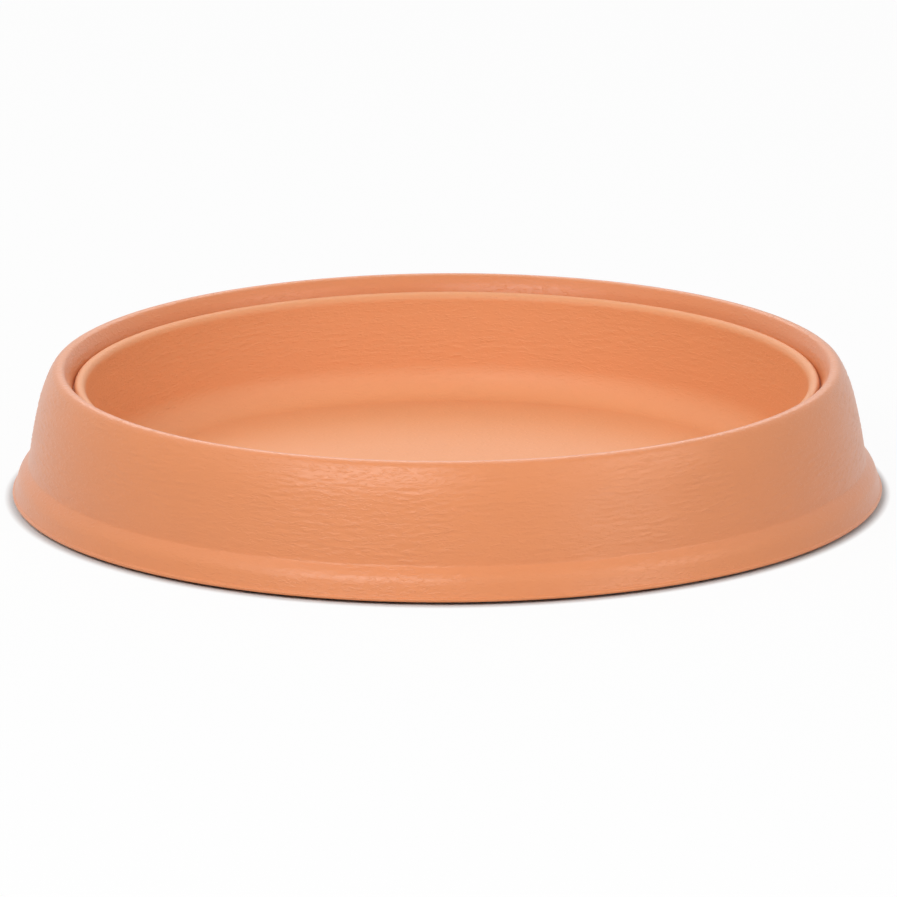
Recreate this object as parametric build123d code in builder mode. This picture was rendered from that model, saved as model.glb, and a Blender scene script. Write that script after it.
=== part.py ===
from build123d import *
import os

# Round plant saucer: a water dish on rubber pads, inside an outer surround that lifts off it.
# Millimetres, +Z up, origin on the ground at the centre. Both shells are turned about Z, so their
# sections are drawn on the XZ plane as radius against height.

# Overall
skirt_radius = 203.0
rim_height = 61.3

# Outer surround, outside face from the ground up
ground_gap = 1.5
edge_lip_height = 1.5
edge_lip_depth = 0.65
edge_lip_slope = 0.4
skirt_height = 14.8
skirt_flare = 7.6
shoulder_height = 9.9
shoulder_depth = 3.1
shoulder_round = 5.0
skirt_corner_round = 1.6
wall_start_rise = 3.0
wall_start_depth = 0.5

# Outer surround, wall and rim
shell_thickness = 2.6
crest_inset = 14.7
brow_width = 3.7
brow_drop = 2.25
wall_knee_height_share = 0.60
wall_knee_depth_share = 0.42
wall_bulge_height_share = 0.50
wall_bulge_depth_share = 0.44
rim_inner_width = 2.7
rim_inner_drop = 1.7
rim_face_width = 3.9
rim_face_drop = 8.0
rim_edge_round = 0.6
rim_edge_height = 0.7
rim_foot_width = 2.0
rim_foot_height = 2.0

# Webs that stiffen the hollow of the surround
web_count = 12
web_thickness = 1.8

# Water dish, top edge
slot_width = 0.5
bead_width = 5.3
bead_rise = 3.4
bead_inner_round = 2.8
flange_thickness = 2.5
flange_lip_fit = 0.3
flange_lip_width = 1.8
flange_lip_height = 1.5

# Water dish, wall and floor
dish_thickness = 2.5
wall_draft = 2.2
floor_clearance = 2.5
floor_round = 16.0

# Ribs and pad cups under the floor
rib_height = 1.2
rib_thickness = 1.6
hub_ring_radius = 30.0
cup_wall = 1.4

# Rubber foot pads
pad_count = 6
pad_radius = 10.0
pad_inset = 36.0
pad_fit = 0.1
pad_bevel = 0.5


def offset_corner(before, corner, after, thickness):
    """Corner of the parallel face, one thickness to the left of the way before, corner, after."""
    first, second = [Vector(-way.Y, way.X).normalized() for way in (corner - before, after - corner)]
    return corner + (first + second) * (thickness / (1 + first.dot(second)))


def between(start, end, depth_share, height_share):
    """Point at the given shares of the way from start to end, across and up."""
    return Vector(start.X + (end.X - start.X) * depth_share, start.Y + (end.Y - start.Y) * height_share)


# Places on the surround's section, up the outside, over the rim and down its inside
edge_foot = Vector(skirt_radius, ground_gap)
edge_top = edge_foot + Vector(0, edge_lip_height)
skirt_foot = edge_top + Vector(-edge_lip_depth, edge_lip_slope)
shoulder = edge_foot + Vector(-shoulder_depth, shoulder_height)
skirt_corner = edge_foot + Vector(-skirt_flare, skirt_height)
wall_start = skirt_corner + Vector(-wall_start_depth, wall_start_rise)
crest = Vector(skirt_corner.X - crest_inset, rim_height)
brow = crest + Vector(brow_width, -brow_drop)
wall_knee = between(wall_start, brow, wall_knee_depth_share, wall_knee_height_share)
wall_bulge = between(wall_start, wall_knee, wall_bulge_depth_share, wall_bulge_height_share)
rim_turn = crest + Vector(-rim_inner_width, -rim_inner_drop)
rim_edge = rim_turn + Vector(-rim_face_width, -rim_face_drop)
rim_foot_inner = rim_edge + Vector(0, -rim_edge_height)
rim_foot_outer = rim_foot_inner + Vector(rim_foot_width, 0)
rim_foot_top = rim_foot_outer + Vector(0, rim_foot_height)

# Places on the surround's hollow side, one wall in from the outside
inward = Vector(-shell_thickness, 0)
hollow_top = crest + Vector(0, -shell_thickness)
hollow_turn = offset_corner(crest, rim_turn, rim_edge, shell_thickness)
hollow_brow = offset_corner(wall_knee, brow, crest, shell_thickness)
hollow_corner = offset_corner(shoulder, skirt_corner, wall_start, shell_thickness)
hollow_shoulder = offset_corner(skirt_foot, shoulder, skirt_corner, shell_thickness)

# Places on the dish's section, worked out from the surround's foot, which stands on its flange
seat_height = rim_foot_inner.Y
bead_outer_radius = rim_foot_inner.X - slot_width
bead_inner_radius = bead_outer_radius - bead_width
bead_outer_round = bead_width - bead_inner_round
bead_crest = Vector(bead_inner_radius + bead_inner_round, seat_height + bead_rise)
bead_side = Vector(bead_outer_radius, bead_crest.Y - bead_outer_round)
wall_top = Vector(bead_inner_radius, bead_crest.Y - bead_inner_round)
wall_foot = Vector(bead_inner_radius - wall_draft, floor_clearance + dish_thickness)
floor_centre = Vector(0, wall_foot.Y)
under_centre = Vector(0, floor_clearance)
under_corner = offset_corner(wall_top, wall_foot, floor_centre, dish_thickness)
flange_underside = seat_height - flange_thickness
wall_slope = wall_draft / (wall_top.Y - wall_foot.Y)
flange_root = Vector(under_corner.X + (flange_underside - under_corner.Y) * wall_slope, flange_underside)
flange_lip_inner_radius = rim_foot_outer.X + flange_lip_fit
flange_radius = flange_lip_inner_radius + flange_lip_width
flange_lip_top = seat_height + flange_lip_height

# Places of the pads and ribs under the floor
pad_circle_radius = wall_foot.X - pad_inset
pad_cup_radius = pad_radius + pad_fit
spoke_length = pad_circle_radius - pad_cup_radius - hub_ring_radius

os.makedirs("parts", exist_ok=True)

# Outer surround: flared skirt, leaning wall, rounded rim and the foot that stands on the dish
with BuildPart() as outer_surround:
    with BuildSketch(Plane.XZ) as surround_section:
        with BuildLine():
            FilletPolyline(
                skirt_foot,
                shoulder,
                skirt_corner,
                wall_start,
                radius=[shoulder_round, skirt_corner_round],
            )
            lower_wall = ThreePointArc(wall_start, wall_bulge, wall_knee)
            upper_wall = TangentArc(wall_knee, brow, tangent=lower_wall % 1)
            TangentArc(brow, crest, tangent=upper_wall % 1)
            TangentArc(crest, rim_turn, tangent=(-1, 0))
            FilletPolyline(rim_turn, rim_edge, rim_foot_inner, radius=rim_edge_round)
            Polyline(rim_foot_inner, rim_foot_outer, rim_foot_top, hollow_turn)
            ThreePointArc(hollow_turn, hollow_top, hollow_brow)
            Line(hollow_brow, wall_knee + inward)
            ThreePointArc(wall_knee + inward, wall_bulge + inward, wall_start + inward)
            Polyline(wall_start + inward, hollow_corner, hollow_shoulder, edge_foot + inward)
            Polyline(edge_foot + inward, edge_foot, edge_top, skirt_foot)
        make_face()
    revolve(axis=Axis.Z)
    for turn in range(web_count):
        outward = Vector(1, 0).rotate(Axis.Z, turn * 360 / web_count)
        web_plane = Plane(origin=(0, 0, 0), x_dir=outward, z_dir=outward.cross(Vector(0, 0, 1)))
        with BuildSketch(web_plane) as web_section:
            with BuildLine():
                Polyline(
                    rim_foot_top + Vector(-rim_foot_width / 2, 0),
                    hollow_turn + Vector(0, shell_thickness / 2),
                    hollow_top + Vector(0, shell_thickness / 2),
                    brow + inward / 2,
                    wall_knee + inward / 2,
                    Vector(flange_radius + flange_lip_fit, rim_foot_top.Y),
                    close=True,
                )
            make_face()
        extrude(amount=web_thickness / 2, both=True)
outer_surround.part.label = "outer_surround"
export_step(outer_surround.part, "parts/outer_surround.step")

# Water dish: floor, curved corner, steep wall, beaded edge and the flange that carries the surround
with BuildPart() as water_dish:
    with BuildSketch(Plane.XZ) as dish_section:
        with BuildLine():
            FilletPolyline(under_centre, under_corner, flange_root, radius=floor_round + dish_thickness)
            Polyline(
                flange_root,
                (flange_radius, flange_underside),
                (flange_radius, flange_lip_top),
                (flange_lip_inner_radius, flange_lip_top),
                (flange_lip_inner_radius, seat_height),
                (bead_outer_radius, seat_height),
                bead_side,
            )
            TangentArc(bead_side, bead_crest, tangent=(0, 1))
            TangentArc(bead_crest, wall_top, tangent=(-1, 0))
            FilletPolyline(wall_top, wall_foot, floor_centre, radius=floor_round)
            Line(floor_centre, under_centre)
        make_face()
    revolve(axis=Axis.Z)
    with BuildSketch(Plane.XY.offset(floor_clearance - rib_height)) as rib_plan:
        Circle(hub_ring_radius + rib_thickness / 2)
        Circle(hub_ring_radius - rib_thickness / 2, mode=Mode.SUBTRACT)
        with PolarLocations(hub_ring_radius + spoke_length / 2, pad_count):
            Rectangle(spoke_length, rib_thickness)
        with PolarLocations(pad_circle_radius, pad_count):
            Circle(pad_cup_radius + cup_wall)
            Circle(pad_cup_radius, mode=Mode.SUBTRACT)
    extrude(amount=rib_height)
water_dish.part.label = "water_dish"
export_step(water_dish.part, "parts/water_dish.step")

# Foot pads: rubber discs in the cups, standing on the ground
for number, place in enumerate(PolarLocations(pad_circle_radius, pad_count).locations, start=1):
    with BuildPart() as foot_pad:
        with BuildSketch(Plane(place)):
            Circle(pad_radius)
        extrude(amount=floor_clearance)
        chamfer(foot_pad.edges().group_by(Axis.Z)[0], length=pad_bevel)
    foot_pad.part.label = f"foot_pad_{number}"
    export_step(foot_pad.part, f"parts/foot_pad_{number}.step")
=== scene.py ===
import math

import bpy
import numpy as np
from bpy.props import FloatProperty, FloatVectorProperty, IntProperty, PointerProperty
from mathutils import Matrix, Vector


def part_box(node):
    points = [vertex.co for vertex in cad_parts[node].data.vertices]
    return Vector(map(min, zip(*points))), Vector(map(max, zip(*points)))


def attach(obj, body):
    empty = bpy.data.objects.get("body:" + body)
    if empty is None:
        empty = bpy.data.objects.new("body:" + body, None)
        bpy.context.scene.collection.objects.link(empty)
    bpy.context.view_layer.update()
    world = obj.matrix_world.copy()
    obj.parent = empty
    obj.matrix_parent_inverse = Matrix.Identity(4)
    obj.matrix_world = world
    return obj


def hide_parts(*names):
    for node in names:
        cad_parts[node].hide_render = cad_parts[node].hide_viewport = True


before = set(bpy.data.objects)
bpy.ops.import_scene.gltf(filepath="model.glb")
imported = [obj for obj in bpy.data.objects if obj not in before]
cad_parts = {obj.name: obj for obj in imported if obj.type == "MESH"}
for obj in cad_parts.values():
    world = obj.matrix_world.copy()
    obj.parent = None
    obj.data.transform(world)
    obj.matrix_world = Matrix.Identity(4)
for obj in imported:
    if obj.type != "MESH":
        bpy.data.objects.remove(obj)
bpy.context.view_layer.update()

bl_info = {
    "name": "Plant Saucer",
    "version": (1, 0, 0),
    "blender": (4, 5, 0),
    "location": "View3D > Sidebar > Saucer",
    "description": "Dresses a plant saucer of two terracotta-coloured plastic shells on rubber pads",
    "category": "Object",
}

MM = 0.001
SURROUND_LOW, SURROUND_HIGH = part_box("outer_surround")
DISH_LOW, DISH_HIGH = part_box("water_dish")
PAD_NODES = sorted(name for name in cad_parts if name.startswith("foot_pad_"))

# Most turn in one step of an arc, shortest step of an outline, and columns round each kind of piece.
# The shells' columns keep each of them under 200,000 triangles.
ARC_STEP = math.radians(15)
LEAST_STEP = 0.02 * MM
SHELL_COLUMNS = 540
PAD_COLUMNS = 96
HUB_COLUMNS = 96
CUP_COLUMNS = 72

# How far the streak relief takes to fade in, steps in a ripple's pitch, steps beyond the outline's
# end, share of the long ripples, mean, spread and limits of the ripples' strength, and how many
# spreads of the noise make the full height
RELIEF_FADE = 1.5 * MM
RIPPLE_STEPS = 8
SPARE_STEPS = 8
LONG_RIPPLE_SHARE = 0.35
STRENGTH_MEAN, STRENGTH_SPREAD, STRENGTH_LEAST, STRENGTH_MOST = 0.9, 0.35, 0.3, 1.6
FULL_HEIGHT_SPREADS = 3

# Part of the fine noise that stands up as scratches
SCRATCH_FROM, SCRATCH_TO = 0.5, 0.8

# Distances past the skirt where the paper starts to be white and where it is whitest, and how white
WHITE_START, WHITE_END, WHITE_SHARE = 1 * MM, 4 * MM, 0.95


def linear(hex_colour):
    """Linear red, green, blue and alpha of an sRGB hex colour, by the sRGB curve."""
    values = [int(hex_colour[k:k + 2], 16) / 255 for k in (1, 3, 5)]
    return [v / 12.92 if v <= 0.04045 else ((v + 0.055) / 1.055) ** 2.4 for v in values] + [1.0]


# Shapes: outlines turned about the upright axis

def rounded_outline(corners, closed):
    """Points along an outline whose corners are rounded, and the relief share at each.

    A corner is (radius, height, round, spacing, relief). Where the outline turns by an angle t, the
    corner is cut back by round * tan(t / 2) on both sides, and an arc of that round joins the cuts.
    The arc and the straight after it are divided into steps of the spacing, and no step of an arc
    turns more than ARC_STEP.
    """
    count = len(corners)
    places = np.array([corner[:2] for corner in corners])
    arcs = []
    for k, (_, _, round_radius, spacing, _) in enumerate(corners):
        if round_radius == 0:
            arcs.append(places[k][None, :])
            continue
        way_in = places[k] - places[k - 1]
        way_out = places[(k + 1) % count] - places[k]
        way_in /= np.linalg.norm(way_in)
        way_out /= np.linalg.norm(way_out)
        turn = math.atan2(way_in[0] * way_out[1] - way_in[1] * way_out[0], way_in @ way_out)
        to_centre = math.copysign(round_radius, turn) * np.array([-way_in[1], way_in[0]])
        centre = places[k] - way_in * round_radius * math.tan(abs(turn) / 2) + to_centre
        steps = math.ceil(max(abs(turn) / ARC_STEP, abs(turn) * round_radius / spacing))
        cos, sin = np.cos(np.linspace(0, turn, steps + 1)), np.sin(np.linspace(0, turn, steps + 1))
        arcs.append(centre - np.stack([
            to_centre[0] * cos - to_centre[1] * sin, to_centre[0] * sin + to_centre[1] * cos], axis=1))
    points, relief = [], []
    for k, arc in enumerate(arcs):
        points.append(arc)
        relief.append(np.full(len(arc), corners[k][4]))
        if closed or k < count - 1:
            after = (k + 1) % count
            steps = math.ceil(np.linalg.norm(arcs[after][0] - arc[-1]) / corners[k][3])
            share = np.linspace(0, 1, steps + 1)[1:-1]
            points.append(arc[-1] + (arcs[after][0] - arc[-1]) * share[:, None])
            relief.append(corners[k][4] + (corners[after][4] - corners[k][4]) * share)
    points, relief = np.concatenate(points), np.concatenate(relief)
    before = np.roll(points, 1, axis=0) if closed else np.concatenate([points[:1] + 1, points[:-1]])
    apart = np.linalg.norm(points - before, axis=1) > LEAST_STEP
    return points[apart], relief[apart]


def band_noise(rng, shape, steps, sizes, pitch):
    """Seamless noise of unit spread, longer one way than the other.

    White noise is filtered in frequency space: by a bell of width 1 / size the way round, and the
    way up by a bell around 1 / pitch, or around zero where the pitch is zero.
    """
    around = np.fft.fftfreq(shape[1], steps[1])[None, :] * sizes[1]
    along = np.fft.fftfreq(shape[0], steps[0])[:, None]
    centre = 0 if pitch == 0 else 1 / pitch
    bell = np.exp(-0.5 * (around * 2 * math.pi) ** 2)
    bell = bell * np.exp(-0.5 * ((abs(along) - centre) * sizes[0] * 2 * math.pi) ** 2)
    field = np.fft.ifft2(np.fft.fft2(rng.standard_normal(shape)) * bell).real
    return field / field.std()


def streak_relief(lengths, columns, girth, look, seed):
    """Height of the streaked skin, -1 to 1, at each outline length and column.

    Short ripples run the way round, and fainter ones four times as long join them. Each point
    reads them at a length shifted by a slower noise, which makes them wander, and another slow
    noise makes them strong in some places and weak in others. Each noise's widths, up and round,
    are shares of the ripples' pitch and length.
    """
    rng = np.random.default_rng(seed)
    pitch, length = look.streak_pitch, look.streak_length
    step = pitch / RIPPLE_STEPS
    shape = (int(lengths[-1] / step) + SPARE_STEPS, columns)
    steps = (step, girth / columns)
    ripples = band_noise(rng, shape, steps, (pitch * 0.25, length * 0.3), pitch)
    ripples += LONG_RIPPLE_SHARE * band_noise(rng, shape, steps, (pitch * 0.25, length * 1.2), pitch)
    ripples /= ripples.std()
    wander = band_noise(rng, shape, steps, (pitch * 1.5, length * 1.2), 0)
    strength = band_noise(rng, shape, steps, (pitch * 2, length * 2.5), 0)
    column = np.arange(columns)[None, :]
    index = np.clip(np.rint(lengths[:, None] / step).astype(int), 0, shape[0] - 1)
    shifted = lengths[:, None] / step + wander[index, column] * (look.streak_wander / step)
    low = np.floor(shifted).astype(int)
    share = shifted - low
    height = ripples[low % shape[0], column] * (1 - share) + ripples[(low + 1) % shape[0], column] * share
    height *= np.clip(
        STRENGTH_MEAN + STRENGTH_SPREAD * strength[index, column], STRENGTH_LEAST, STRENGTH_MOST)
    return np.clip(height / FULL_HEIGHT_SPREADS, -1, 1)


def add_piece(name, vertices, faces, body, replaced):
    """Makes a smooth mesh object in the row frame, which rides on a body and stands for CAD nodes."""
    mesh = bpy.data.meshes.new(name)
    mesh.from_pydata(vertices, [], faces)
    mesh.polygons.foreach_set("use_smooth", np.ones(len(mesh.polygons), dtype=bool))
    mesh.validate()
    piece = bpy.data.objects.new(name, mesh)
    bpy.context.scene.collection.objects.link(piece)
    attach(piece, body)
    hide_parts(*replaced)
    return piece


def turned_grid(points, heights, columns, closed):
    """Vertices and faces of an outline carried round the upright axis.

    The vertex of outline point p and column c is the point at the angle 2 pi c / columns, moved
    along the outline's outward normal by its height. An open outline starts and ends on the axis,
    where a fan of triangles round one pole vertex closes it.
    """
    ring = points if closed else points[1:-1]
    ahead = np.roll(points, -1, axis=0) - np.roll(points, 1, axis=0)
    normals = np.stack([ahead[:, 1], -ahead[:, 0]], axis=1)
    normals /= np.linalg.norm(normals, axis=1)[:, None]
    normals = normals if closed else normals[1:-1]
    angles = np.arange(columns) * (2 * math.pi / columns)
    heights = np.broadcast_to(heights, (len(ring), columns))
    radius = ring[:, :1] + normals[:, :1] * heights
    height = ring[:, 1:] + normals[:, 1:] * heights
    vertices = np.stack([radius * np.cos(angles), radius * np.sin(angles), height], axis=2).reshape(-1, 3)
    rows = len(ring)
    row = np.arange(rows if closed else rows - 1)[:, None]
    column = np.arange(columns)[None, :]
    above, beside = (row + 1) % rows, (column + 1) % columns
    corners = [
        row * columns + column, row * columns + beside,
        above * columns + beside, above * columns + column]
    faces = np.stack(corners, axis=2).reshape(-1, 4).tolist()
    if not closed:
        poles = np.array([[0, 0, points[0, 1]], [0, 0, points[-1, 1]]])
        column, beside = np.arange(columns), (np.arange(columns) + 1) % columns
        first, last = np.full(columns, len(vertices)), np.full(columns, len(vertices) + 1)
        top = (rows - 1) * columns
        faces += np.stack([first, beside, column], axis=1).tolist()
        faces += np.stack([last, top + column, top + beside], axis=1).tolist()
        vertices = np.concatenate([vertices, poles])
    return vertices, faces


def turned_piece(name, corners, closed, columns, look, seed, body, replaced):
    """A turned piece whose skin carries the streak relief, scaled by each corner's relief share.

    The share is averaged over RELIEF_FADE of the outline, by a bell of that width.
    """
    points, share = rounded_outline(corners, closed)
    run = np.linalg.norm(np.diff(points, axis=0), axis=1)
    lengths = np.concatenate([[0], np.cumsum(run)])
    bell = np.exp(-0.5 * ((lengths[:, None] - lengths[None, :]) / RELIEF_FADE) ** 2)
    share = bell @ share / bell.sum(axis=1)
    heights = streak_relief(lengths, columns, 2 * math.pi * points[:, 0].max(), look, seed)
    heights = heights * (look.streak_depth / 2 * share[:, None])
    heights = heights if closed else heights[1:-1]
    vertices, faces = turned_grid(points, heights, columns, closed)
    return add_piece(name, vertices, faces, body, replaced)


def upright_plates(outline, thickness, angles):
    """Vertices and faces of flat plates that stand on rays from the axis.

    Each plate is the outline, in radius and height, pushed half its thickness to either side of
    its ray. Its faces are the two outlines and the band of quads between them.
    """
    count = len(outline)
    vertices, faces = [], []
    ring = np.arange(count)
    band = np.stack([ring, (ring + 1) % count, (ring + 1) % count + count, ring + count], axis=1)
    for number, angle in enumerate(angles):
        outward = np.array([math.cos(angle), math.sin(angle), 0])
        aside = np.array([-math.sin(angle), math.cos(angle), 0])
        flat = outline[:, :1] * outward + outline[:, 1:] * np.array([0, 0, 1])
        vertices += [flat - aside * thickness / 2, flat + aside * thickness / 2]
        first = 2 * count * number
        faces += [(ring + first).tolist(), (ring[::-1] + count + first).tolist()]
        faces += (band[:, ::-1] + first).tolist()
    return np.concatenate(vertices), faces


# Materials

def add_node(tree, kind, settings=None, inputs=None):
    """Adds a node with its settings; an input given as a socket is linked, and any other is set."""
    node = tree.nodes.new(kind)
    for name, value in (settings or {}).items():
        setattr(node, name, value)
    for name, value in (inputs or {}).items():
        if isinstance(value, bpy.types.NodeSocket):
            tree.links.new(value, node.inputs[name])
        else:
            node.inputs[name].default_value = value
    return node


def new_material(name):
    """An empty node material."""
    material = bpy.data.materials.new(name)
    material.use_nodes = True
    material.node_tree.nodes.clear()
    return material, material.node_tree


def rays_to_eye(tree):
    """Socket that is 1 for the camera's rays and for those it sees mirrored or through glass, else 0."""
    ray = add_node(tree, "ShaderNodeLightPath")
    seen = add_node(tree, "ShaderNodeMath", {"operation": "MAXIMUM"}, {
        0: ray.outputs["Is Camera Ray"], 1: ray.outputs["Is Glossy Ray"]})
    seen = add_node(tree, "ShaderNodeMath", {"operation": "MAXIMUM"}, {
        0: seen.outputs[0], 1: ray.outputs["Is Transmission Ray"]})
    return seen.outputs[0]


def moulded_polypropylene(name, pigment, roughness, look):
    """Injection-moulded polypropylene in a terracotta colour.

    The mould's skin is streaked the way round, so its satin gloss breaks into short bright lines,
    and the pigment is very slightly cloudy. The broad ripples are in the mesh, and this adds the
    fine scratches.
    """
    material, tree = new_material(name)
    place = add_node(tree, "ShaderNodeTexCoord").outputs["Object"]
    cloud_place = add_node(tree, "ShaderNodeMapping", inputs={
        "Vector": place, "Scale": [1 / look.cloud_size] * 3})
    cloud = add_node(tree, "ShaderNodeTexNoise", inputs={
        "Vector": cloud_place.outputs[0], "Scale": 1.0, "Detail": 4.0, "Roughness": 0.6})
    fine_scale = [1 / look.scratch_length, 1 / look.scratch_length, 1 / look.scratch_width]
    fine_place = add_node(tree, "ShaderNodeMapping", inputs={"Vector": place, "Scale": fine_scale})
    fine = add_node(tree, "ShaderNodeTexNoise", inputs={
        "Vector": fine_place.outputs[0], "Scale": 1.0, "Detail": 3.0, "Roughness": 0.55, "Distortion": 0.4})
    colour = add_node(tree, "ShaderNodeMix", {"data_type": "RGBA"}, {
        0: cloud.outputs["Fac"], 6: [c * (1 - look.cloud_shade) for c in pigment[:3]] + [1.0],
        7: list(pigment)})
    scratches = add_node(tree, "ShaderNodeMapRange", inputs={
        "Value": fine.outputs["Fac"], "From Min": SCRATCH_FROM, "From Max": SCRATCH_TO})
    bump = add_node(tree, "ShaderNodeBump", inputs={
        "Height": scratches.outputs[0], "Strength": 1.0, "Distance": look.scratch_depth})
    shader = add_node(tree, "ShaderNodeBsdfPrincipled", inputs={
        "Base Color": colour.outputs[2], "Roughness": roughness,
        "Normal": bump.outputs["Normal"], "IOR": 1.5})
    add_node(tree, "ShaderNodeOutputMaterial", inputs={"Surface": shader.outputs[0]})
    return material


def moulded_rubber(name):
    """Compression-moulded black rubber: matt, with a fine orange-peel skin about 0.8 mm across."""
    material, tree = new_material(name)
    place = add_node(tree, "ShaderNodeTexCoord").outputs["Object"]
    grain = add_node(tree, "ShaderNodeTexNoise", inputs={
        "Vector": place, "Scale": 1 / (0.8 * MM), "Detail": 2.0})
    colour = add_node(tree, "ShaderNodeValToRGB", inputs={"Fac": grain.outputs["Fac"]})
    colour.color_ramp.elements[0].color = linear("#1B1A19")
    colour.color_ramp.elements[1].color = linear("#2A2927")
    bump = add_node(tree, "ShaderNodeBump", inputs={
        "Height": grain.outputs["Fac"], "Strength": 1.0, "Distance": 0.03 * MM})
    shader = add_node(tree, "ShaderNodeBsdfPrincipled", inputs={
        "Base Color": colour.outputs["Color"], "Roughness": 0.75, "IOR": 1.52,
        "Normal": bump.outputs["Normal"]})
    add_node(tree, "ShaderNodeOutputMaterial", inputs={"Surface": shader.outputs[0]})
    return material


def white_paper(name, clear_radius):
    """Matt white paper floor.

    To the camera and in reflections, the paper outside the clear radius is nearly as white as the
    background and keeps a little of the object's shadow. Inside it, the paper is plainly lit, and
    so it is for the light that it throws back.
    """
    material, tree = new_material(name)
    place = add_node(tree, "ShaderNodeTexCoord").outputs["Object"]
    distance = add_node(tree, "ShaderNodeVectorMath", {"operation": "LENGTH"}, {0: place})
    beyond = add_node(tree, "ShaderNodeMapRange", inputs={
        "Value": distance.outputs["Value"], "From Min": clear_radius + WHITE_START,
        "From Max": clear_radius + WHITE_END, "To Min": 0.0, "To Max": WHITE_SHARE})
    factor = add_node(tree, "ShaderNodeMath", {"operation": "MULTIPLY"}, {
        0: rays_to_eye(tree), 1: beyond.outputs[0]})
    paper = add_node(tree, "ShaderNodeBsdfDiffuse", inputs={"Color": linear("#E0E0E0")})
    white = add_node(tree, "ShaderNodeEmission", inputs={"Color": linear("#FFFFFF"), "Strength": 1.0})
    mixed = add_node(tree, "ShaderNodeMixShader", inputs={
        0: factor.outputs[0], 1: paper.outputs[0], 2: white.outputs[0]})
    add_node(tree, "ShaderNodeOutputMaterial", inputs={"Surface": mixed.outputs[0]})
    return material


# What a user may change

class SaucerLook(bpy.types.PropertyGroup):
    """Colour and skin of the plastic shells."""

    surround_colour: FloatVectorProperty(
        name="Surround colour", description="Terracotta pigment of the surround",
        subtype="COLOR", size=4, min=0, max=1, default=linear("#E08C59"))
    # The dish's colour is painted light: it is paler than the surround's to brighten the dish's shaded
    # inside.
    dish_colour_painted_paler: FloatVectorProperty(
        name="Dish colour", description="Terracotta pigment of the dish, a shade paler",
        subtype="COLOR", size=4, min=0, max=1, default=linear("#E99F6D"))
    cloud_shade: FloatProperty(
        name="Cloud shade", description="How much darker the clouds in the pigment are", min=0, max=1,
        default=0.04)
    surround_roughness: FloatProperty(
        name="Surround roughness", description="Roughness of the surround's skin", min=0, max=1,
        default=0.3)
    dish_roughness: FloatProperty(
        name="Dish roughness", description="Roughness of the dish's skin", min=0, max=1, default=0.5)
    streak_depth: FloatProperty(
        name="Streak depth", description="Depth of the skin's ripples in the mesh", unit="LENGTH",
        default=0.4 * MM)
    streak_pitch: FloatProperty(
        name="Streak pitch", description="Distance from ripple to ripple, across them", unit="LENGTH",
        default=3.0 * MM)
    streak_length: FloatProperty(
        name="Streak length", description="Usual length of a ripple", unit="LENGTH", default=2.8 * MM)
    streak_wander: FloatProperty(
        name="Streak wander", description="How far a ripple strays up and down", unit="LENGTH",
        default=0.3 * MM)
    scratch_length: FloatProperty(
        name="Scratch length", description="Length of the finest lines", unit="LENGTH", default=3.0 * MM)
    scratch_width: FloatProperty(
        name="Scratch width", description="Width of the finest lines", unit="LENGTH", default=1.0 * MM)
    scratch_depth: FloatProperty(
        name="Scratch depth", description="Depth of the finest lines", unit="LENGTH", default=0.14 * MM)
    cloud_size: FloatProperty(
        name="Cloud size", description="Size of the clouds in the pigment", unit="LENGTH", default=30 * MM)


class SurroundSizes(bpy.types.PropertyGroup):
    """Section of the outer surround. Its overall radius and heights come from the frame."""

    shell_thickness: FloatProperty(
        name="Shell thickness", description="Wall of the moulding", unit="LENGTH", default=2.6 * MM)
    edge_height: FloatProperty(
        name="Edge height", description="Upright lip at the foot of the skirt", unit="LENGTH",
        default=1.5 * MM)
    edge_depth: FloatProperty(
        name="Edge depth", description="How far the lip stands out of the skirt", unit="LENGTH",
        default=0.9 * MM)
    shoulder_depth: FloatProperty(
        name="Shoulder depth", description="Shoulder inside the edge", unit="LENGTH", default=3.1 * MM)
    shoulder_height: FloatProperty(
        name="Shoulder height", description="Shoulder above the edge", unit="LENGTH", default=9.9 * MM)
    flare: FloatProperty(
        name="Skirt flare", description="How far the skirt spreads below the wall", unit="LENGTH",
        default=7.6 * MM)
    skirt_height: FloatProperty(
        name="Skirt height", description="Height of the flared skirt", unit="LENGTH", default=14.8 * MM)
    foot_width: FloatProperty(
        name="Foot width", description="Foot inside the rim, which stands on the dish", unit="LENGTH",
        default=2.0 * MM)
    web_count: IntProperty(name="Webs", description="Webs in the hollow of the rim", default=12)
    web_thickness: FloatProperty(
        name="Web thickness", description="Thickness of a web", unit="LENGTH", default=1.8 * MM)


class DishSizes(bpy.types.PropertyGroup):
    """Section of the water dish. Its flange radius and heights come from the frame."""

    thickness: FloatProperty(
        name="Thickness", description="Wall and floor of the moulding", unit="LENGTH", default=2.5 * MM)
    floor_round: FloatProperty(
        name="Floor round", description="Curve between floor and wall", unit="LENGTH", default=16 * MM)
    wall_draft: FloatProperty(
        name="Wall draft", description="How far the wall leans out over its height", unit="LENGTH",
        default=2.2 * MM)
    bead_width: FloatProperty(
        name="Bead width", description="Width of the beaded edge", unit="LENGTH", default=5.3 * MM)
    bead_inner_round: FloatProperty(
        name="Bead inner round", description="Round on the bead's inner side", unit="LENGTH",
        default=3.4 * MM)
    rib_height: FloatProperty(
        name="Rib height", description="Ribs and pad cups under the floor", unit="LENGTH", default=1.2 * MM)
    rib_thickness: FloatProperty(
        name="Rib thickness", description="Thickness of a rib", unit="LENGTH", default=1.6 * MM)
    hub_radius: FloatProperty(
        name="Hub ring radius", description="Ring that joins the ribs", unit="LENGTH", default=30 * MM)
    cup_wall: FloatProperty(
        name="Cup wall", description="Wall of the cup round a pad", unit="LENGTH", default=1.4 * MM)


def settings():
    """The scene's property groups."""
    return bpy.context.scene.saucer_look, bpy.context.scene.saucer_surround, bpy.context.scene.saucer_dish


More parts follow.
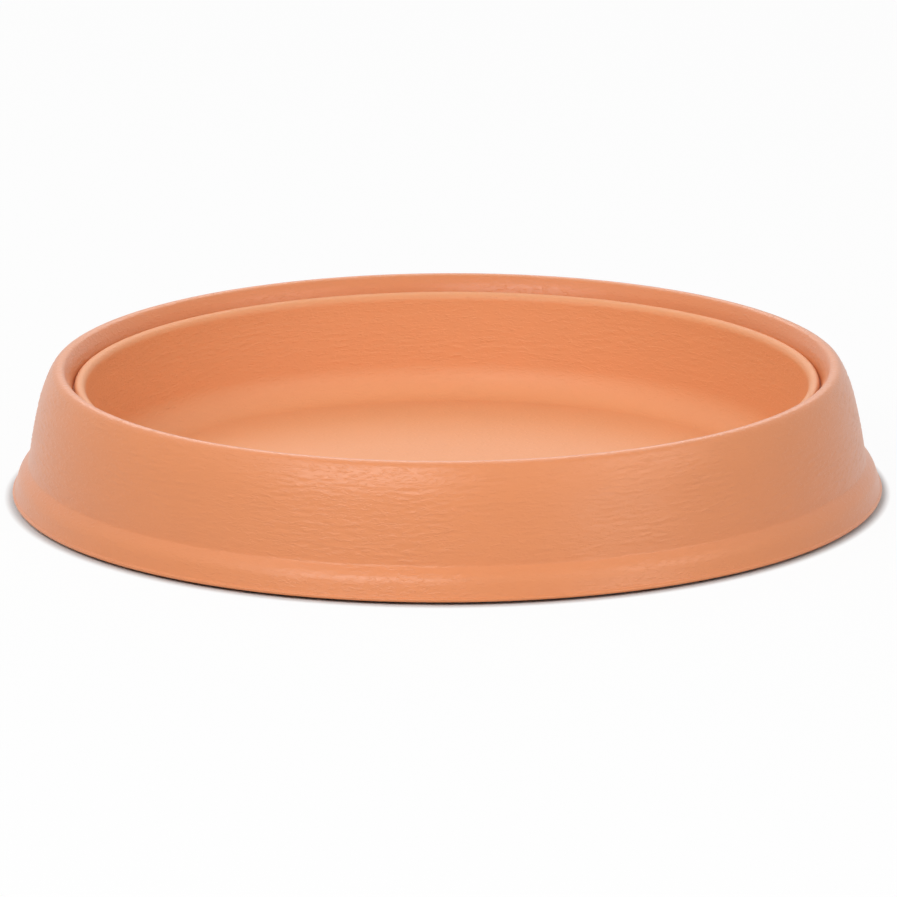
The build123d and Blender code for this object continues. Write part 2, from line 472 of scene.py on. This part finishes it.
# Places that both shells share: the surround's foot stands on the dish's flange
FOOT_INNER_RADIUS = 174.1 * MM
SEAT_HEIGHT = 50.9 * MM
SLOT_WIDTH = 0.5 * MM
RIM_FOOT_HEIGHT = 2.0 * MM

# Room for the streaks inside the CAD box, play round a pad in its cup, and how far the ribs reach
# into the floor
STREAK_ROOM = 0.02 * MM
PAD_FIT = 0.1 * MM
RIB_SINK = 0.1 * MM


class SAUCER_OT_surround(bpy.types.Operator):
    """Add the outer surround: flared skirt, leaning wall, rounded rim and the webs in its hollow"""

    bl_idname = "saucer.surround"
    bl_label = "Add outer surround"

    def execute(self, context):
        look, sizes, _ = settings()
        material = moulded_polypropylene(
            "streaked_polypropylene_surround", look.surround_colour, look.surround_roughness, look)
        radius, foot, top = SURROUND_HIGH.x - STREAK_ROOM, SURROUND_LOW.z, SURROUND_HIGH.z
        wall = sizes.shell_thickness
        corner_radius, corner_height = radius - sizes.flare, foot + sizes.skirt_height
        inner_foot = FOOT_INNER_RADIUS
        fine, mid, wide, coarse = 0.65 * MM, 0.8 * MM, 1.6 * MM, 8 * MM
        shoulder_radius = radius - sizes.shoulder_depth
        # Edge lip, skirt and shoulder; crease, leaning wall and rim; inner face and foot; the hollow
        # under the rim, down the wall and behind the skirt
        outline = [
            (radius, foot, 0.8 * MM, mid, 0.0),
            (radius, foot + sizes.edge_height, 0.6 * MM, mid, 0.0),
            (radius - sizes.edge_depth, foot + sizes.edge_height + 0.4 * MM, 0.4 * MM, mid, 0.2),
            (shoulder_radius, foot + sizes.shoulder_height, 12 * MM, mid, 0.45),

            (corner_radius, corner_height, 1.6 * MM, mid, 0.6),
            (corner_radius - 2.19 * MM, corner_height + 15.02 * MM, 281 * MM, fine, 1.0),
            (corner_radius - 6.83 * MM, corner_height + 35.23 * MM, 60.6 * MM, fine, 1.0),
            (corner_radius - 12.21 * MM, top - 0.05 * MM, 4.3 * MM, fine, 0.0),
            (corner_radius - 16.58 * MM, top, 2.94 * MM, wide, 0.0),

            (inner_foot + 1.7 * MM, top - 4.4 * MM, 9 * MM, wide, 0.0),
            (inner_foot, top - 9.7 * MM, 0.6 * MM, wide, 0.0),
            (inner_foot, SEAT_HEIGHT, 0.1 * MM, wide, 0.0),
            (inner_foot + sizes.foot_width, SEAT_HEIGHT, 0.1 * MM, wide, 0.0),

            (inner_foot + sizes.foot_width, SEAT_HEIGHT + RIM_FOOT_HEIGHT, 0.4 * MM, coarse, 0.0),
            (corner_radius - 15.1 * MM, top - 2.6 * MM, 1.0 * MM, coarse, 0.0),
            (corner_radius - 13.0 * MM, top - 2.6 * MM, 1.0 * MM, coarse, 0.0),
            (corner_radius - 4.9 * MM - wall, corner_height + 26.85 * MM, 20 * MM, coarse, 0.0),
            (corner_radius - 0.1 * MM - wall, corner_height - 1.2 * MM, 0.5 * MM, coarse, 0.0),
            (shoulder_radius - 2.2 * MM, foot + sizes.shoulder_height - 1.4 * MM, 1.0 * MM, coarse, 0.0),
            (radius - wall, foot, 0.25 * MM, wide, 0.0),
        ]
        shell = turned_piece(
            "outer_surround_shell", outline, True, SHELL_COLUMNS, look, 11,
            "surround", ["outer_surround"])
        shell.data.materials.append(material)
        web = np.array([
            (inner_foot + sizes.foot_width / 2, SEAT_HEIGHT + RIM_FOOT_HEIGHT),
            (inner_foot + 4.4 * MM, SEAT_HEIGHT + RIM_FOOT_HEIGHT),
            (corner_radius - 4.91 * MM - wall / 2, corner_height + 26.85 * MM),
            (corner_radius - 11.0 * MM - wall / 2, top - 2.25 * MM),
            (corner_radius - 14.7 * MM, top - wall / 2),
            (corner_radius - 15.4 * MM, top - 2.2 * MM),
        ])
        angles = np.arange(sizes.web_count) * (2 * math.pi / sizes.web_count)
        vertices, faces = upright_plates(web, sizes.web_thickness, angles)
        webs = add_piece(
            "surround_webs", vertices, faces, "surround", ["outer_surround"])
        webs.data.polygons.foreach_set("use_smooth", np.zeros(len(faces), dtype=bool))
        webs.data.materials.append(material)
        return {"FINISHED"}


class SAUCER_OT_dish(bpy.types.Operator):
    """Add the water dish: floor, curved corner, wall, beaded edge and flange"""

    bl_idname = "saucer.dish"
    bl_label = "Add water dish"

    def execute(self, context):
        look, _, sizes = settings()
        # The dish's paler colour is painted light, which brightens its shaded inside.
        material = moulded_polypropylene(
            "streaked_polypropylene_dish", look.dish_colour_painted_paler, look.dish_roughness, look)
        wall = sizes.thickness
        underside = DISH_LOW.z + sizes.rib_height
        floor = underside + wall
        flange_radius, bead_top = DISH_HIGH.x, DISH_HIGH.z
        bead_outer = FOOT_INNER_RADIUS - SLOT_WIDTH
        bead_inner = bead_outer - sizes.bead_width
        wall_foot = bead_inner - sizes.wall_draft
        fine, mid, wide, coarse = 0.75 * MM, 1.25 * MM, 1.6 * MM, 16 * MM
        lean = sizes.wall_draft / (bead_top - sizes.bead_inner_round - floor)
        lip = SEAT_HEIGHT + 1.5 * MM
        # Underside and outside of the wall; flange and its lip; bead; inside of the wall, with two
        # heights between which the streaks are strongest, and floor
        outline = [
            (0, underside, 0, coarse, 0.0),
            (wall_foot + wall, underside, sizes.floor_round + wall, coarse, 0.0),
            (wall_foot + wall + lean * (SEAT_HEIGHT - underside), SEAT_HEIGHT - wall, 0.4 * MM, wide, 0.0),

            (flange_radius, SEAT_HEIGHT - wall, 0.25 * MM, wide, 0.0),
            (flange_radius, lip, 0.4 * MM, wide, 0.0),
            (flange_radius - 1.8 * MM, lip, 0.4 * MM, wide, 0.0),
            (flange_radius - 1.8 * MM, SEAT_HEIGHT, 0.1 * MM, wide, 0.0),
            (bead_outer, SEAT_HEIGHT, 0.3 * MM, wide, 0.0),

            (bead_outer, bead_top, sizes.bead_width - sizes.bead_inner_round, fine, 0.0),
            (bead_inner, bead_top, sizes.bead_inner_round, fine, 0.1),

            (wall_foot + lean * 41 * MM, floor + 41 * MM, 0, fine, 0.6),
            (wall_foot + lean * 22 * MM, floor + 22 * MM, 0, fine, 0.6),
            (wall_foot, floor, sizes.floor_round, mid, 0.35),
            (wall_foot - 40 * MM, floor, 0, coarse, 0.0),
            (0, floor, 0, coarse, 0.0),
        ]
        shell = turned_piece(
            "water_dish_shell", outline, False, SHELL_COLUMNS, look, 23,
            "dish", ["water_dish"])
        shell.data.materials.append(material)
        return {"FINISHED"}


class SAUCER_OT_ribs(bpy.types.Operator):
    """Add the ribs under the dish's floor: a hub ring, a rib to each pad and a cup round each pad"""

    bl_idname = "saucer.ribs"
    bl_label = "Add underside ribs"

    def execute(self, context):
        _, _, sizes = settings()
        low, high = DISH_LOW.z, DISH_LOW.z + sizes.rib_height + RIB_SINK
        half = sizes.rib_thickness / 2
        centres = [pad_centre(node) for node in PAD_NODES]
        reach = math.hypot(centres[0].x, centres[0].y)
        cup_inner = pad_radius(PAD_NODES[0]) + PAD_FIT
        cup_outer = cup_inner + sizes.cup_wall
        vertices, faces = band_ring(
            sizes.hub_radius - half, sizes.hub_radius + half, low, high, HUB_COLUMNS, Vector())
        spoke = np.array([
            (sizes.hub_radius, low), (reach - cup_inner, low),
            (reach - cup_inner, high), (sizes.hub_radius, high)])
        angles = [math.atan2(centre.y, centre.x) for centre in centres]
        parts = [upright_plates(spoke, sizes.rib_thickness, angles)]
        parts += [band_ring(cup_inner, cup_outer, low, high, CUP_COLUMNS, centre) for centre in centres]
        for more_vertices, more_faces in parts:
            first = len(vertices)
            faces += [[index + first for index in face] for face in more_faces]
            vertices = np.concatenate([vertices, more_vertices])
        ribs = add_piece("underside_ribs", vertices, faces, "dish", ["water_dish"])
        ribs.data.polygons.foreach_set("use_smooth", np.zeros(len(faces), dtype=bool))
        ribs.data.materials.append(bpy.data.materials["streaked_polypropylene_dish"])
        return {"FINISHED"}


def pad_centre(node):
    """Middle of a pad's foot, from the frame."""
    low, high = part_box(node)
    return Vector(((low.x + high.x) / 2, (low.y + high.y) / 2, 0))


def pad_radius(node):
    """Radius of a pad, from the frame."""
    low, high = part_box(node)
    return (high.x - low.x) / 2


def band_ring(inner, outer, low, high, columns, centre):
    """Vertices and faces of a ring of rectangular section about an upright line through the centre."""
    section = np.array([(outer, low), (outer, high), (inner, high), (inner, low)])
    vertices, faces = turned_grid(section, 0, columns, True)
    return vertices + np.array([centre.x, centre.y, 0]), faces


class SAUCER_OT_pads(bpy.types.Operator):
    """Add the rubber foot pads, each a bevelled disc with two rings moulded in its sole"""

    bl_idname = "saucer.pads"
    bl_label = "Add foot pads"

    def execute(self, context):
        rubber = moulded_rubber("moulded_rubber_pads")
        for node in PAD_NODES:
            low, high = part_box(node)
            radius = pad_radius(node)
            step, bevel = 0.5 * MM, 0.5 * MM
            depth, half_mouth, half_bed = 0.3 * MM, 0.7 * MM, 0.4 * MM
            outline = [(0, low.z, 0, step, 0.0)]
            for ring in (0.45 * radius, 0.75 * radius):
                outline += [
                    (ring - half_mouth, low.z, 0.15 * MM, step, 0.0),
                    (ring - half_bed, low.z + depth, 0.15 * MM, step, 0.0),
                    (ring + half_bed, low.z + depth, 0.15 * MM, step, 0.0),
                    (ring + half_mouth, low.z, 0.15 * MM, step, 0.0),
                ]
            outline += [
                (radius - bevel, low.z, 0.15 * MM, step, 0.0),
                (radius, low.z + bevel, 0.2 * MM, step, 0.0),
                (radius, high.z, 0.2 * MM, step, 0.0),
                (0, high.z, 0, 2 * MM, 0.0),
            ]
            points, _ = rounded_outline(outline, False)
            vertices, faces = turned_grid(points, 0, PAD_COLUMNS, False)
            centre = pad_centre(node)
            vertices = vertices + np.array([centre.x, centre.y, 0])
            pad = add_piece(f"rubber_{node}", vertices, faces, "dish", [node])
            pad.data.materials.append(rubber)
        return {"FINISHED"}


# Studio: floor, world, lamps and camera

# Lamp name: azimuth in degrees from the camera towards the right, elevation, distance, width and
# height in metres, power in watts, and whether it shows in matt light and in gloss
LAMPS = {
    "key_softbox": (-24, 36, 1.8, 1.2, 0.7, 10.4, True, True),
    "left_fill": (-62, 45, 1.8, 0.9, 0.9, 6.0, True, False),
    "right_fill": (42, 36, 1.8, 0.8, 0.8, 7.6, True, False),
    "right_strip": (45, 10, 1.8, 0.8, 0.28, 2.0, True, True),
    "right_sheen": (62, 33, 1.8, 0.7, 0.6, 3.0, False, True),
    "back_fill": (180, 50, 1.8, 1.4, 1.2, 4.2, True, False),
    "back_left_fill": (-130, 40, 1.8, 0.9, 0.9, 2.8, True, False),
    "back_sheen": (180, 36, 1.8, 1.4, 0.6, 5.5, False, True),
    "top_sheen": (180, 64, 1.8, 1.4, 1.0, 4.0, False, True),
}
# World light at the horizon, and from WORLD_RISE up, as the sine of the elevation
WORLD_LOW, WORLD_HIGH, WORLD_RISE = 0.0, 0.4, 0.5
# Camera: metres from the saucer's foot, angles, focal length and frame in the photograph's pixels,
# and how many pixels right of and below the picture's middle the saucer's foot lies
CAMERA_DISTANCE = 4.8974
CAMERA_ELEVATION = math.radians(14.709)
CAMERA_ROLL = math.radians(-0.231)
FOCAL_PIXELS = 10480.0
FRAME_PIXELS = 897
ORIGIN_OFFSET = (-1.28, 42.69)


class SAUCER_OT_stage(bpy.types.Operator):
    """Add the studio: white floor, pale world, soft boxes and the photograph's camera"""

    bl_idname = "saucer.stage"
    bl_label = "Add studio stage"

    def execute(self, context):
        scene = context.scene
        scene.view_settings.view_transform = "Standard"
        self.add_floor(scene)
        self.add_world(scene)
        for name, lamp in LAMPS.items():
            self.add_lamp(scene, name, *lamp)
        self.add_camera(scene)
        return {"FINISHED"}

    def add_floor(self, scene):
        """A square floor, in the plane that the pads stand on."""
        reach = 6.0
        corners = [(-reach, -reach, 0), (reach, -reach, 0), (reach, reach, 0), (-reach, reach, 0)]
        mesh = bpy.data.meshes.new("studio_floor")
        mesh.from_pydata(corners, [], [(0, 1, 2, 3)])
        floor = bpy.data.objects.new("studio_floor", mesh)
        mesh.materials.append(white_paper("white_paper_floor", SURROUND_HIGH.x))
        scene.collection.objects.link(floor)

    def add_world(self, scene):
        """White to the camera and in reflections; its light is dimmer towards the horizon."""
        world = bpy.data.worlds.new("studio_world")
        world.use_nodes = True
        tree = world.node_tree
        tree.nodes.clear()
        way = add_node(tree, "ShaderNodeTexCoord").outputs["Generated"]
        rise = add_node(tree, "ShaderNodeSeparateXYZ", inputs={"Vector": way})
        light = add_node(tree, "ShaderNodeMapRange", inputs={
            "Value": rise.outputs["Z"], "From Max": WORLD_RISE, "To Min": WORLD_LOW, "To Max": WORLD_HIGH})
        strength = add_node(tree, "ShaderNodeMix", inputs={
            0: rays_to_eye(tree), 2: light.outputs[0], 3: 1.0})
        background = add_node(tree, "ShaderNodeBackground", inputs={
            "Color": linear("#FFFFFF"), "Strength": strength.outputs[0]})
        add_node(tree, "ShaderNodeOutputWorld", inputs={"Surface": background.outputs[0]})
        scene.world = world

    def add_lamp(self, scene, name, azimuth, elevation, distance, width, height, power, in_matt, in_gloss):
        """A rectangular soft box aimed at the saucer."""
        turn, lift = math.radians(azimuth), math.radians(elevation)
        back = Vector((math.sin(turn) * math.cos(lift), -math.cos(turn) * math.cos(lift), math.sin(lift)))
        lamp = bpy.data.lights.new(name, "AREA")
        lamp.shape = "RECTANGLE"
        lamp.size, lamp.size_y, lamp.energy = width, height, power
        holder = bpy.data.objects.new(name, lamp)
        holder.location = back * distance
        holder.rotation_euler = (-back).to_track_quat("-Z", "Y").to_euler()
        holder.visible_diffuse, holder.visible_glossy = in_matt, in_gloss
        scene.collection.objects.link(holder)

    def add_camera(self, scene):
        """Looks at the saucer's foot, then turns by the photograph's framing and roll."""
        camera = bpy.data.cameras.new("photo_camera")
        camera.sensor_width = 36.0
        camera.lens = FOCAL_PIXELS / FRAME_PIXELS * camera.sensor_width
        holder = bpy.data.objects.new("photo_camera", camera)
        back = Vector((0, -math.cos(CAMERA_ELEVATION), math.sin(CAMERA_ELEVATION)))
        yaw = math.atan2(ORIGIN_OFFSET[0], FOCAL_PIXELS)
        pitch = math.atan2(ORIGIN_OFFSET[1], FOCAL_PIXELS)
        aim = (-back).to_track_quat("-Z", "Y").to_matrix()
        aim = aim @ Matrix.Rotation(yaw, 3, "Y") @ Matrix.Rotation(pitch, 3, "X")
        aim = aim @ Matrix.Rotation(CAMERA_ROLL, 3, "Z")
        holder.matrix_world = Matrix.Translation(back * CAMERA_DISTANCE) @ aim.to_4x4()
        scene.collection.objects.link(holder)
        scene.camera = holder


class SAUCER_PT_panel(bpy.types.Panel):
    """Lists the saucer's pieces in the sidebar"""

    bl_label = "Plant Saucer"
    bl_idname = "SAUCER_PT_panel"
    bl_space_type = "VIEW_3D"
    bl_region_type = "UI"
    bl_category = "Saucer"

    def draw(self, context):
        for operator in PIECE_OPERATORS:
            self.layout.operator(operator.bl_idname)
        for group in settings():
            box = self.layout.box()
            for name in group.__annotations__:
                box.prop(group, name)


PIECE_OPERATORS = (SAUCER_OT_surround, SAUCER_OT_dish, SAUCER_OT_ribs, SAUCER_OT_pads, SAUCER_OT_stage)
GROUPS = {"saucer_look": SaucerLook, "saucer_surround": SurroundSizes, "saucer_dish": DishSizes}


def register():
    for group in GROUPS.values():
        bpy.utils.register_class(group)
    for name, group in GROUPS.items():
        setattr(bpy.types.Scene, name, PointerProperty(type=group))
    for operator in PIECE_OPERATORS:
        bpy.utils.register_class(operator)
    bpy.utils.register_class(SAUCER_PT_panel)


def unregister():
    bpy.utils.unregister_class(SAUCER_PT_panel)
    for operator in reversed(PIECE_OPERATORS):
        bpy.utils.unregister_class(operator)
    for name in GROUPS:
        delattr(bpy.types.Scene, name)
    for group in reversed(GROUPS.values()):
        bpy.utils.unregister_class(group)


def main():
    register()
    bpy.ops.saucer.surround()
    bpy.ops.saucer.dish()
    bpy.ops.saucer.ribs()
    bpy.ops.saucer.pads()
    bpy.ops.saucer.stage()


if __name__ == "__main__":
    main()
